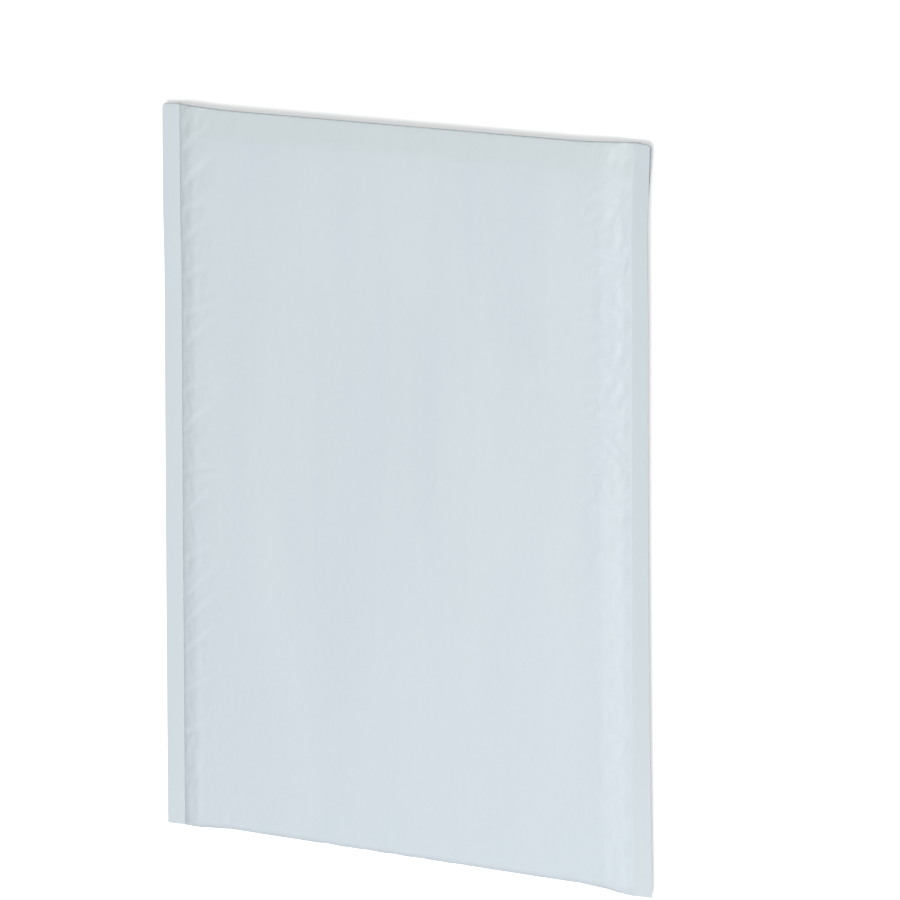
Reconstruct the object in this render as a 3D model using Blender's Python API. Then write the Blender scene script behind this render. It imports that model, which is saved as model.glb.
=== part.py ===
"""A padded mailing envelope lying on its back, with its flap folded under it.

One web of plastic film is folded at the bottom, heat sealed down both sides and folded again at the
mouth to make the flap. A folded lining of air-bubble film fills it. The flap carries a band of
adhesive under a release liner.

X runs across the envelope, +Y points to the mouth and +Z out of the front panel. The origin is on the
surface that the envelope lies on, under its middle.
"""

import math

import bmesh
import bpy

# Sizes of the film web, in metres.
POCKET_WIDTH = 0.267
SEAL_WIDTH = 0.010
BODY_LENGTH = 0.385
FLAP_LENGTH = 0.047
FILM = 0.0001
LIP_SETBACK = 0.0065  # from the top fold's outside back to the edge of the back panel
BOTTOM_PULL = 0.0020  # how far the padding draws the bottom fold in, past the flat seals
TOP_PULL = 0.0010
SEAL_DROOP = 0.0006  # how far a seal's free edge hangs
MOUTH_TAPER = 0.0260  # length over which the front panel sinks towards the top fold
MOUTH_DROP = 0.0012
MOUTH_LIFT = 0.0018  # how far the seals climb towards the front panel at the top fold
LIFT_LENGTH = 0.0500
CREASE_REACH = 0.0020  # how far the top fold bulges past the panel that it closes

# Sizes of the lining, and of the pocket between its plies.
BUBBLE_PLY = 0.0036
POCKET_GAP = 0.0010
PAD_CROWN = 0.0016  # extra height in the middle of the front panel
LINING_INSET = 0.0050  # from a side seal in to the lining's edge
LINING_SETBACK = 0.0060  # from the back panel's lip down to the lining's edge

# Sizes of the closure on the flap.
ADHESIVE_WIDTH = 0.0190
ADHESIVE_THICKNESS = 0.0001
ADHESIVE_END_INSET = 0.0040
LINER_WIDTH = 0.0225
LINER_THICKNESS = 0.0001
LINER_END_INSET = 0.0008
LINER_EDGE_MARGIN = 0.0075  # from the flap's free edge to the release liner

# Form of the padded edges and of the puckers along the seals.
EDGE_ROUND = 0.0130
PUCKER_DEPTH = 0.0010
PUCKER_PITCH = 0.0230
PUCKER_REACH = 0.0340
PUCKER_SLANT = 0.8  # how far a pucker climbs for each unit that it runs into the panel
PUCKER_WANDER = 0.110  # length over which the puckers' spacing drifts
PUCKER_FADE = 0.068  # length over which they grow and fade
FLAP_RAMP = 0.0450  # length over which the back panel climbs onto the folded flap

CLEARANCE = 0.0003

# How finely the curved surfaces are divided.
ROW_STEP = 0.0054
EDGE_STEPS = 4
FOLD_STEPS = 6
LINING_ROWS = 14
FLAP_ROWS = 3

BODY_WIDTH = POCKET_WIDTH + 2 * SEAL_WIDTH
PAD_THICKNESS = 2 * (FILM + CLEARANCE + BUBBLE_PLY) + POCKET_GAP
FLAP_STACK = FILM + ADHESIVE_THICKNESS + LINER_THICKNESS + 3 * CLEARANCE
TOP_FOLD_Y = BODY_LENGTH / 2
BOTTOM_FOLD_Y = -BODY_LENGTH / 2
LIP_Y = TOP_FOLD_Y - LIP_SETBACK
FLAP_EDGE_Y = TOP_FOLD_Y - FLAP_LENGTH
LINER_Y = FLAP_EDGE_Y + LINER_EDGE_MARGIN + LINER_WIDTH / 2
PANEL_ROWS = round((BODY_LENGTH - LIP_SETBACK) / ROW_STEP)
WELD_DISTANCE = 1e-6

# The phase of the puckers on each of the four panel edges.
FRONT_LEFT, FRONT_RIGHT, BACK_LEFT, BACK_RIGHT = 0.4, 2.3, 3.9, 5.2

FILM_COLOUR = (0.66, 0.72, 0.76, 1.0)
LINING_COLOUR = (0.78, 0.83, 0.86, 1.0)
ADHESIVE_COLOUR = (0.80, 0.78, 0.70, 1.0)
LINER_COLOUR = (0.64, 0.61, 0.59, 1.0)


def smooth_step(value):
    """0 below 0 and 1 above 1, with a smooth climb between."""
    value = min(max(value, 0.0), 1.0)
    return value * value * (3 - 2 * value)


def inside_seal(x):
    """How far x lies inside the nearer side seal, or 0 on the seal."""
    return max(POCKET_WIDTH / 2 - abs(x), 0.0)


def edge_rise(x):
    """The rounded climb of a panel from its side seal, from 0 at the seal to 1."""
    return math.sin(math.pi / 2 * min(inside_seal(x) / EDGE_ROUND, 1.0))


def pucker_reach(x):
    """How strongly puckers show at x: none on the seal, most just inside it, none past their reach."""
    share = min(inside_seal(x) / PUCKER_REACH, 1.0)
    return math.sin(math.pi * math.sqrt(share))


def pucker(x, y, phase):
    """The depth of the slanting puckers that a heat seal draws into the film beside it."""
    along = y - PUCKER_SLANT * inside_seal(x)
    turn = 2 * math.pi * along / PUCKER_PITCH + 1.4 * math.sin(2 * math.pi * along / PUCKER_WANDER + phase)
    strength = 0.62 + 0.38 * math.sin(2 * math.pi * along / PUCKER_FADE + 2 * phase)
    ends = smooth_step((TOP_FOLD_Y - abs(y)) / PUCKER_PITCH)
    wave = (0.5 + 0.5 * math.cos(turn + phase)) ** 2
    return PUCKER_DEPTH * strength * wave * ends * pucker_reach(x)


def underside(y):
    """The height of the back panel: 0 where it lies flat, higher where it lies on the flap."""
    return FLAP_STACK * smooth_step((y - FLAP_EDGE_Y + FLAP_RAMP) / FLAP_RAMP)


def seal_height(x, y):
    """The height of the seam where the front and back film meet."""
    outward = max(abs(x) - POCKET_WIDTH / 2, 0.0) / SEAL_WIDTH
    lift = MOUTH_LIFT * smooth_step((y - TOP_FOLD_Y + LIFT_LENGTH) / LIFT_LENGTH)
    return underside(y) + PAD_THICKNESS / 2 + lift - SEAL_DROOP * outward


def crown(x, y):
    """The extra height of the front panel towards its middle."""
    across = math.sin(math.pi / 2 * min(4 * inside_seal(x) / POCKET_WIDTH, 1.0))
    along = math.cos(math.pi * min(abs(y) / BODY_LENGTH, 0.5))
    return PAD_CROWN * across * math.sqrt(along)


def smooth_heights(x, y):
    """The heights of the back and front panels' outer surfaces, before the puckers."""
    seam = seal_height(x, y)
    low, high = seam - FILM, seam + FILM
    mouth_drop = MOUTH_DROP * smooth_step((y - TOP_FOLD_Y + MOUTH_TAPER) / MOUTH_TAPER)
    top = underside(y) + PAD_THICKNESS + crown(x, y) - mouth_drop
    rise = edge_rise(x)
    return low + (underside(y) - low) * rise, high + (top - high) * rise


def film_heights(x, y):
    """The heights of the film's outer surface on the back and front panels."""
    back, front = smooth_heights(x, y)
    back += pucker(x, y, BACK_LEFT if x < 0 else BACK_RIGHT)
    front -= pucker(x, y, FRONT_LEFT if x < 0 else FRONT_RIGHT)
    return back, front


def pulled_in(x, pull):
    """How far a fold at x is drawn in by the padding, past its line on the flat seals."""
    return pull * smooth_step(inside_seal(x) / PUCKER_REACH)


def half_turn(start_y, reach, low, high, direction, thickness=0.0):
    """Points (y, z) round a fold from its lower side to its upper, thickness inside its outer line."""
    middle, radius = (low + high) / 2, (high - low) / 2
    points = []
    for step in range(1, FOLD_STEPS):
        angle = math.pi * step / FOLD_STEPS
        points.append(
            (
                start_y + direction * (reach - thickness) * math.sin(angle),
                middle - (radius - thickness) * math.cos(angle),
            )
        )
    return points


def panel_line(x, from_y, to_y, rows, side):
    """Points (y, z) up or down one panel's outer surface; side is 0 for the back and 1 for the front."""
    steps = [from_y + (to_y - from_y) * row / rows for row in range(rows + 1)]
    return [(y, film_heights(x, y)[side]) for y in steps]


def raised(points, height):
    return [(y, z + height) for y, z in points]


def film_lines(x):
    """The film's outer and inner lines at x, from the back lip round the bottom and top folds to the flap's edge."""
    edge = BOTTOM_FOLD_Y + pulled_in(x, BOTTOM_PULL)
    low, high = film_heights(x, edge)
    bottom_reach = (high - low) / 2
    bottom_y = edge + bottom_reach
    back = panel_line(x, LIP_Y, bottom_y, PANEL_ROWS, 0)
    front = panel_line(x, bottom_y, LIP_Y, PANEL_ROWS, 1)
    bottom = (bottom_y, bottom_reach, back[-1][1], front[0][1], -1)

    top_y = TOP_FOLD_Y - pulled_in(x, TOP_PULL) - CREASE_REACH
    shoulder = (top_y, film_heights(x, top_y)[1])
    top = (top_y, CREASE_REACH, 0.0, shoulder[1], 1)
    flap = [(top_y + (FLAP_EDGE_Y - top_y) * row / FLAP_ROWS, 0.0) for row in range(FLAP_ROWS + 1)]

    outer = back + half_turn(*bottom) + front + [shoulder] + half_turn(*top)[::-1] + flap
    inner = (
        raised(back, FILM)
        + half_turn(*bottom, FILM)
        + raised(front + [shoulder], -FILM)
        + half_turn(*top, FILM)[::-1]
        + raised(flap, FILM)
    )
    return outer, inner


def across_stations(first, last_inset):
    """Stations from the left edge to the right, close together where the panels curve."""
    rounded = [EDGE_ROUND * (1 - math.cos(math.pi / 2 * step / EDGE_STEPS)) for step in range(EDGE_STEPS + 1)]
    flatter = [(EDGE_ROUND + PUCKER_REACH) / 2, PUCKER_REACH, (PUCKER_REACH + POCKET_WIDTH / 2) / 2]
    insets = [inset for inset in rounded + flatter if inset > last_inset + FILM]
    left = first + [inset - POCKET_WIDTH / 2 for inset in [last_inset] + insets]
    return left + [0.0] + [-x for x in reversed(left)]


def add_grid(bm, stations, lines):
    """Vertices of a surface: one row of points (y, z) for each station."""
    return [[bm.verts.new((x, y, z)) for y, z in line] for x, line in zip(stations, lines)]


def add_strip(bm, first, second):
    """Quads between two lines of vertices."""
    for a, b, c, d in zip(first, first[1:], second[1:], second):
        bm.faces.new((a, b, c, d))


def finish(bm, name, colour, roughness, transmission=0.0):
    """Makes the closed solid into a named object with its own material."""
    bmesh.ops.remove_doubles(bm, verts=bm.verts, dist=WELD_DISTANCE)
    bmesh.ops.delete(bm, geom=[vert for vert in bm.verts if not vert.link_faces], context="VERTS")
    bmesh.ops.recalc_face_normals(bm, faces=bm.faces)
    mesh = bpy.data.meshes.new(name)
    bm.to_mesh(mesh)
    bm.free()
    mesh.shade_smooth()
    mesh.set_sharp_from_angle(angle=math.radians(40))
    mesh.materials.append(plain_material(name, colour, roughness, transmission))
    obj = bpy.data.objects.new(name, mesh)
    bpy.context.scene.collection.objects.link(obj)
    return obj


def plain_material(name, colour, roughness, transmission):
    material = bpy.data.materials.new(name)
    material.use_nodes = True
    shader = material.node_tree.nodes["Principled BSDF"]
    shader.inputs["Base Color"].default_value = colour
    shader.inputs["Roughness"].default_value = roughness
    shader.inputs["Metallic"].default_value = 0.0
    shader.inputs["Transmission Weight"].default_value = transmission
    return material


def make_outer_film():
    """The folded and side-sealed film: front panel, back panel, seals and flap in one piece."""
    stations = across_stations([-BODY_WIDTH / 2], 0.0)
    lines = [film_lines(x) for x in stations]
    bm = bmesh.new()
    outer = add_grid(bm, stations, [line[0] for line in lines])
    inner = add_grid(bm, stations, [line[1] for line in lines])
    fold_end = PANEL_ROWS + FOLD_STEPS
    mouth = fold_end + PANEL_ROWS  # the front panel's row opposite the back panel's lip

    for left, right in zip(outer, outer[1:]):
        add_strip(bm, left, right)
    for left, right in zip(inner[1:-2], inner[2:-1]):
        add_strip(bm, left, right)
    for left, right in ((inner[0], inner[1]), (inner[-2], inner[-1])):
        add_strip(bm, left[mouth:], right[mouth:])

    lip = [inner[0][mouth]] + [line[0] for line in inner[1:-1]] + [inner[-1][mouth]]
    add_strip(bm, [line[0] for line in outer], lip)
    add_strip(bm, [line[-1] for line in outer], [line[-1] for line in inner])
    for skin, lining in ((outer[0], inner[0]), (outer[-1], inner[-1])):
        bm.faces.new([skin[mouth], lining[mouth], skin[0], skin[1], skin[mouth - 1]])
        add_strip(bm, skin[1 : PANEL_ROWS + 1], skin[mouth - 1 : fold_end - 1 : -1])
        bm.faces.new(skin[PANEL_ROWS : fold_end + 1])
        add_strip(bm, skin[mouth:], lining[mouth:])
    return finish(bm, "outer_film", FILM_COLOUR, 0.42)


def lining_lines(x):
    """The lining's outer and inner lines at x, from the back ply's edge round its fold to the front ply's edge."""
    hollow = PUCKER_DEPTH * pucker_reach(x) + FILM + CLEARANCE
    mouth_y = LIP_Y - LINING_SETBACK

    def heights(y):
        """The heights of the back ply's two faces and the front ply's two faces."""
        seam = seal_height(x, y)
        low, high = smooth_heights(x, y)
        low += hollow
        high -= hollow
        back_inside = min(low + BUBBLE_PLY, seam - POCKET_GAP / 2)
        front_inside = max(high - BUBBLE_PLY, seam + POCKET_GAP / 2)
        return low, back_inside, front_inside, high

    edge = BOTTOM_FOLD_Y + pulled_in(x, BOTTOM_PULL) + hollow
    low, _, _, high = heights(edge)
    bottom_y = edge + (high - low) / 2
    steps = [mouth_y + (bottom_y - mouth_y) * row / LINING_ROWS for row in range(LINING_ROWS + 1)]
    plies = [(y, *heights(y)) for y in steps]
    low, back_inside, front_inside, high = plies[-1][1:]
    outer_turn = half_turn(bottom_y, (high - low) / 2, low, high, -1)
    inner_turn = half_turn(bottom_y, (front_inside - back_inside) / 2, back_inside, front_inside, -1)
    outer = [(ply[0], ply[1]) for ply in plies] + outer_turn + [(ply[0], ply[4]) for ply in plies[::-1]]
    inner = [(ply[0], ply[2]) for ply in plies] + inner_turn + [(ply[0], ply[3]) for ply in plies[::-1]]
    return outer, inner


def make_bubble_lining():
    """The folded ply of air-bubble film that pads both panels, as thick as its bubbles."""
    stations = across_stations([], LINING_INSET)
    lines = [lining_lines(x) for x in stations]
    bm = bmesh.new()
    outer = add_grid(bm, stations, [line[0] for line in lines])
    inner = add_grid(bm, stations, [line[1] for line in lines])
    for skin in (outer, inner):
        for left, right in zip(skin, skin[1:]):
            add_strip(bm, left, right)
    for end in (0, -1):
        add_strip(bm, outer[end], inner[end])
        add_strip(bm, [line[end] for line in outer], [line[end] for line in inner])
    return finish(bm, "bubble_lining", LINING_COLOUR, 0.25, 0.3)


def make_band(name, length, width, thickness, height, colour, roughness):
    """A flat band across the flap, its underside at height."""
    bm = bmesh.new()
    bmesh.ops.create_cube(bm, size=1.0)
    bmesh.ops.scale(bm, verts=bm.verts, vec=(length, width, thickness))
    band = finish(bm, name, colour, roughness)
    band.location = (0.0, LINER_Y, height + thickness / 2)
    return band


def make_adhesive_strip():
    """The hot-melt band on the flap's inner face."""
    length = BODY_WIDTH - 2 * ADHESIVE_END_INSET
    height = FILM + CLEARANCE
    return make_band(
        "adhesive_strip", length, ADHESIVE_WIDTH, ADHESIVE_THICKNESS, height, ADHESIVE_COLOUR, 0.15
    )


def make_release_liner():
    """The peel-off paper over the adhesive."""
    length = BODY_WIDTH - 2 * LINER_END_INSET
    height = FILM + ADHESIVE_THICKNESS + 2 * CLEARANCE
    return make_band("release_liner", length, LINER_WIDTH, LINER_THICKNESS, height, LINER_COLOUR, 0.5)


def main():
    for obj in list(bpy.data.objects):
        bpy.data.objects.remove(obj)
    envelope = bpy.data.objects.new("padded_envelope", None)
    bpy.context.scene.collection.objects.link(envelope)
    for make in (make_outer_film, make_bubble_lining, make_adhesive_strip, make_release_liner):
        make().parent = envelope


main()
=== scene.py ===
"""A padded mailing envelope of pale plastic film, lying on its back with its flap folded under it.

X runs across the envelope, +Y points to its mouth and +Z out of its front panel, in metres.
"""

import math

import bmesh
import bpy
import numpy as np
from mathutils import Matrix, Vector


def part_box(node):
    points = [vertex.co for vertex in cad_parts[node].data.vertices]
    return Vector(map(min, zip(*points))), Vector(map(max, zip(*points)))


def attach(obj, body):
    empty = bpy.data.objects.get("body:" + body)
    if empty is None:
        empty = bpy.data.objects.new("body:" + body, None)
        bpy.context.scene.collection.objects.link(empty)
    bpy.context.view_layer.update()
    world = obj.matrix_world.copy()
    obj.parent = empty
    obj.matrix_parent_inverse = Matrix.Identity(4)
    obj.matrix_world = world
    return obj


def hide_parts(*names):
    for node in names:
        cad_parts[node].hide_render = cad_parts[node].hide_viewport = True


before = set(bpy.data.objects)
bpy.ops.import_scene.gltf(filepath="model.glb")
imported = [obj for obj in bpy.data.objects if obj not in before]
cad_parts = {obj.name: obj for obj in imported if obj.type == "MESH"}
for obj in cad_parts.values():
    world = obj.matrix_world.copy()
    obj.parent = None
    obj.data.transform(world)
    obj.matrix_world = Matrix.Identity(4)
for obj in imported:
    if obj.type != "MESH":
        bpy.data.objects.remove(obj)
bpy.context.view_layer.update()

# The film web. The outline comes from the frame, and the rest repeats the part's own sizes.
FILM_LOW, FILM_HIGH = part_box("outer_film")
BODY_WIDTH = FILM_HIGH.x - FILM_LOW.x
BODY_LENGTH = FILM_HIGH.y - FILM_LOW.y
TOP_FOLD_Y = FILM_HIGH.y
BOTTOM_FOLD_Y = FILM_LOW.y
SEAL_WIDTH = 0.010
POCKET_WIDTH = BODY_WIDTH - 2 * SEAL_WIDTH
FLAP_LENGTH = 0.047
FLAP_EDGE_Y = TOP_FOLD_Y - FLAP_LENGTH
LIP_SETBACK = 0.0065
LIP_Y = TOP_FOLD_Y - LIP_SETBACK
FILM = 0.0001
CLEARANCE = 0.0003
BUBBLE_PLY = 0.0036
POCKET_GAP = 0.0010
PAD_THICKNESS = 2 * (FILM + CLEARANCE + BUBBLE_PLY) + POCKET_GAP
FLAP_STACK = 3 * FILM + 3 * CLEARANCE
PAD_CROWN = 0.0016
BOTTOM_PULL = 0.0020
TOP_PULL = 0.0010
EDGE_ROUND_LEFT = 0.0130
EDGE_ROUND_RIGHT = 0.0180
PUCKER_REACH = 0.0340
FLAP_RAMP = 0.0450

# What the film shows beside the part's sizes: a welt along the left seal, seams at two heights, and a mouth
# that is creased level with the front.
WELT_ROUND = 0.0024
WELT_LEFT = 0.20
STRIP_RISE_LEFT = 0.0011
STRIP_RISE_RIGHT = (0.0009, 0.0013, -0.0010)
SEAM_DROP_LEFT = 0.0010
SEAM_LIFT_RIGHT = 0.0024
MOUTH_TAPER = 0.0260
MOUTH_DROP = 0.0012
LIFT_LEFT = -0.0008
LIFT_RIGHT = 0.0003
LIFT_LENGTH = 0.0500
CREASE_ROUND = 0.0010
CREASE_SHARE = 0.4  # the most of the mouth's height that its rounding takes
MOUTH_SLOPE = 0.28
CORNER_ROUND = 0.0022
FLAP_WIDENS = 0.0055
FLAP_NARROWS = 0.0185
FLAP_BELOW_SEAL = 0.0015
CURL_LENGTH = 0.0185

# How much wider than its nominal size the envelope is, as shares on its left and right side: at the middle of
# its length, its change towards the mouth, and its bow.
LEFT_LINE = (0.0047, -0.01135, -0.00184)
RIGHT_LINE = (-0.0062, -0.00735, 0.00605)

# How finely the film is divided.
PANEL_ROWS = 220
FOLD_STEPS = 10
SHOULDER_ROWS = 2
CREASE_STEPS = 8
LEAN_STEPS = 3
HEEL_STEPS = 5
FLAP_ROWS = 18
STRIP_INSETS = (0.0, 0.0005, 0.0012, 0.0022, 0.0045, 0.0075)
STRIP_COLUMNS = len(STRIP_INSETS)
EDGE_COLUMNS = 22
EDGE_EVENNESS = 0.45
MIDDLE_COLUMNS = 18

# The camera, where the photograph's four corners of the envelope put it.
CAMERA_PLACE = Vector((1.5119, 0.6612, 2.5900))
CAMERA_FORWARD = Vector((-0.4871, -0.2082, -0.8481))
CAMERA_UP = Vector((-0.1008, 0.9781, -0.1822))
CAMERA_LENS = 240.5
CAMERA_SENSOR = 36.0
CAMERA_REACH = 20.0


def smooth_step(value):
    value = np.clip(value, 0.0, 1.0)
    return value * value * (3 - 2 * value)


def inside_seal(x):
    """How far x lies inside the nearer side seal, or 0 on the seal."""
    return np.maximum(POCKET_WIDTH / 2 - np.abs(x), 0.0)


def edge_rise(x):
    """The rounded climb of a panel from 0 at its side seal to 1, gentler on the right than on the left."""
    share = np.minimum(inside_seal(x) / np.where(x < 0, EDGE_ROUND_LEFT, EDGE_ROUND_RIGHT), 1.0)
    welt = np.sqrt(1 - (1 - np.minimum(inside_seal(x) / WELT_ROUND, 1.0)) ** 2)
    left = WELT_LEFT * welt + (1 - WELT_LEFT) * (1 - (1 - share) ** 2)
    right = (np.sin(math.pi / 2 * share) + smooth_step(share)) / 2
    return np.where(x < 0, left, right)


def underside(y):
    """The height of the back panel: 0 where it lies flat, higher where it lies on the flap."""
    return FLAP_STACK * smooth_step((y - FLAP_EDGE_Y + FLAP_RAMP) / FLAP_RAMP)


def seal_height(x, y):
    """The height of the seam where the front and back film meet."""
    outward = np.maximum(np.abs(x) - POCKET_WIDTH / 2, 0.0) / SEAL_WIDTH
    middle, change, bow = STRIP_RISE_RIGHT
    along = 2 * y / BODY_LENGTH
    rise = np.where(x < 0, STRIP_RISE_LEFT, middle + change * along + bow * along**2)
    near_mouth = smooth_step((y - TOP_FOLD_Y + LIFT_LENGTH) / LIFT_LENGTH)
    at_mouth = np.where(x < 0, LIFT_LEFT, LIFT_RIGHT)
    below_mouth = np.where(x < 0, -SEAM_DROP_LEFT, SEAM_LIFT_RIGHT)
    lift = below_mouth + (at_mouth - below_mouth) * near_mouth
    return underside(y) + PAD_THICKNESS / 2 + lift + rise * outward


def crown(x, y):
    """The extra height of the front panel towards its middle."""
    across = np.sin(math.pi / 2 * np.minimum(4 * inside_seal(x) / POCKET_WIDTH, 1.0))
    along = np.cos(math.pi * np.minimum(np.abs(y) / BODY_LENGTH, 0.5))
    return PAD_CROWN * across * np.sqrt(np.maximum(along, 0.0))


def smooth_heights(x, y):
    """The heights of the back and front panels' outer surfaces, before the puckers."""
    seam = seal_height(x, y)
    low, high = seam - FILM, seam + FILM
    mouth_drop = MOUTH_DROP * smooth_step((y - TOP_FOLD_Y + MOUTH_TAPER) / MOUTH_TAPER)
    top = underside(y) + PAD_THICKNESS + crown(x, y) - mouth_drop
    rise = edge_rise(x)
    return low + (underside(y) - low) * rise, high + (top - high) * rise


def pulled_in(x, pull):
    """How far a fold at x is drawn in by the padding, past its line on the flat seals."""
    return pull * smooth_step(inside_seal(x) / PUCKER_REACH)


def corner_drop(x):
    """How far the top fold falls away at the rounded corners of the seals."""
    short = np.maximum(CORNER_ROUND - (BODY_WIDTH / 2 - np.abs(x)), 0.0)
    return CORNER_ROUND - np.sqrt(CORNER_ROUND**2 - short**2)


# A pucker is (place, climb, reach, width, depth), in mm but for the climb. The place is measured along the
# seal from the envelope's middle. The climb is how far the pucker rises towards the mouth for each unit that
# it runs in from the seal.
FRONT_RIGHT = (
    (181, 0.5, 22, 4.5, 0.8),
    (166, 0.9, 30, 4.0, 0.9),
    (157, 0.9, 32, 3.6, 1.0),
    (148, 1.0, 26, 4.2, 0.8),
    (133, 0.1, 20, 4.6, 1.1),
    (121, 0.6, 24, 4.0, 0.5),
    (105, 0.2, 18, 4.8, 0.8),
    (89, 0.5, 24, 4.0, 0.4),
    (70, 0.6, 20, 4.4, 0.5),
    (51, 0.2, 20, 4.6, 0.8),
    (31, 0.9, 26, 3.6, 0.8),
    (23, 0.9, 28, 3.8, 0.9),
    (4, 0.1, 22, 5.0, 1.1),
    (-10, 0.5, 18, 4.0, 0.5),
    (-24, 0.3, 20, 4.4, 0.8),
    (-44, 0.4, 18, 4.6, 0.4),
    (-62, 0.3, 20, 4.2, 0.4),
    (-79, 0.2, 22, 4.8, 0.7),
    (-96, 0.5, 18, 4.0, 0.4),
    (-112, 0.2, 20, 4.6, 0.7),
    (-129, 0.4, 18, 4.0, 0.4),
    (-144, 0.1, 22, 5.0, 0.7),
    (-163, -0.3, 20, 4.6, 0.5),
)
FRONT_LEFT = (
    (182, 0.3, 16, 4.2, 0.8),
    (165, 0.8, 28, 4.0, 0.7),
    (147, 0.8, 32, 4.2, 0.9),
    (135, 0.4, 22, 4.4, 0.8),
    (118, 0.7, 28, 4.2, 0.6),
    (99, 0.5, 22, 4.4, 0.5),
    (81, 0.3, 24, 4.6, 0.9),
    (62, 0.8, 30, 4.0, 0.7),
    (40, 0.4, 22, 4.6, 0.5),
    (18, 0.8, 30, 4.4, 0.7),
    (-4, 0.4, 22, 4.2, 0.4),
    (-27, 0.8, 28, 4.6, 0.6),
    (-50, 0.5, 24, 4.2, 0.5),
    (-72, 0.9, 33, 4.4, 0.8),
    (-86, 0.9, 34, 4.0, 0.8),
    (-101, 0.8, 30, 4.4, 0.7),
    (-121, 0.5, 28, 4.8, 0.8),
    (-143, 0.4, 22, 4.2, 0.5),
    (-164, -0.2, 18, 4.4, 0.5),
)
PUCKER_SHARE_LEFT = 0.50
PUCKER_SHARE_RIGHT = 0.75
SHARP_SIDE = 0.45
SOFT_SIDE = 1.35
WIDTH_AT_SEAL = 0.75
WIDENS = 0.6
FADES_IN = 4.0
FADES_OUT = 1.25

# The back's puckers: their pitch, and the range of each of their measures, in the same units as above. Their
# first and last places and their steps are shares of the pitch.
BACK_PITCH = 0.0125
BACK_STEPS = (0.6, 1.5)
BACK_FIRST = 1.6
BACK_LAST = 1.2
BACK_CLIMB = (0.3, 1.2)
BACK_REACH = (18, 40)
BACK_WIDTH = (2.8, 4.6)
BACK_DEPTH = (0.32, 0.80)
BACK_SEEDS = (5, 6)


def scattered_puckers(seed):
    """Puckers at uneven steps down one edge of the back panel, which are closer than on the front."""
    draw = np.random.default_rng(seed)
    puckers, y = [], TOP_FOLD_Y - BACK_FIRST * BACK_PITCH
    while y > BOTTOM_FOLD_Y + BACK_LAST * BACK_PITCH:
        measures = [draw.uniform(*limits) for limits in (BACK_CLIMB, BACK_REACH, BACK_WIDTH, BACK_DEPTH)]
        puckers.append((y * 1000, *measures))
        y -= BACK_PITCH * draw.uniform(*BACK_STEPS)
    return tuple(puckers)


def pucker_depth(x, y, puckers):
    """How deep the puckers of one seal are at x, y. Each is a valley that fades out as it leaves the seal."""
    inward = inside_seal(x)
    depth = np.zeros(np.broadcast(x, y).shape)
    for place, climb, reach, width, deep in puckers:
        run = inward / (reach / 1000)
        across = (y - place / 1000 - climb * inward) / math.hypot(1.0, climb)
        spread = width / 1000 * (WIDTH_AT_SEAL + WIDENS * run) * np.where(across > 0, SHARP_SIDE, SOFT_SIDE)
        fade = smooth_step(FADES_IN * run) * smooth_step(FADES_OUT * (1 - run))
        depth += deep / 1000 * np.exp(-((across / spread) ** 2)) * fade
    return depth * np.where(x < 0, PUCKER_SHARE_LEFT, PUCKER_SHARE_RIGHT)


BUBBLE_PITCH = 0.0107
IMPRINT_DEPTH = 0.00003
IMPRINT_CELL = 0.52  # how far a bubble's imprint reaches, as a share of the pitch
IMPRINT_PATCH = 0.05
IMPRINT_EVEN = 0.6
IMPRINT_PATCHY = 0.4

# The film's slow unevenness: the depth and the wavelength of each wave in it.
LONG_WAVE = (0.00012, 0.050)
LONG_WAVE_STRETCH = 0.25
SHORT_WAVE = (0.00004, 0.022)
BACK_WAVE = (0.00010, 0.060)
EVEN_MARGIN = 0.012
LONG_SEED, SHORT_SEED, BACK_SEED, IMPRINT_SEED = 11, 12, 13, 14
WAVES_IN_NOISE = 9
WAVE_RANGE = (0.7, 1.5)


def bubble_lattice(x, y):
    """1 in the middle of each bubble of a staggered lattice, and 0 between bubbles."""
    row_pitch = BUBBLE_PITCH * math.sqrt(3) / 2
    best = np.full(np.broadcast(x, y).shape, np.inf)
    for shift in (0.0, 1.0):
        column = (x / BUBBLE_PITCH + shift / 2) % 1.0 - 0.5
        row = (y / row_pitch / 2 + shift / 2) % 1.0 - 0.5
        best = np.minimum(best, np.hypot(column * BUBBLE_PITCH, row * 2 * row_pitch))
    return smooth_step(1 - best / (IMPRINT_CELL * BUBBLE_PITCH))


def gentle_noise(x, y, seed, wavelength):
    """A smooth field from about -1 to 1, the sum of a few plane waves of about that wavelength."""
    draw = np.random.default_rng(seed)
    total = np.zeros(np.broadcast(x, y).shape)
    for _ in range(WAVES_IN_NOISE):
        angle, phase = draw.uniform(0, 2 * math.pi, 2)
        turns = 2 * math.pi / (wavelength * draw.uniform(*WAVE_RANGE))
        total += np.sin(turns * (x * math.cos(angle) + y * math.sin(angle)) + phase)
    return total / math.sqrt(WAVES_IN_NOISE)


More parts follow.
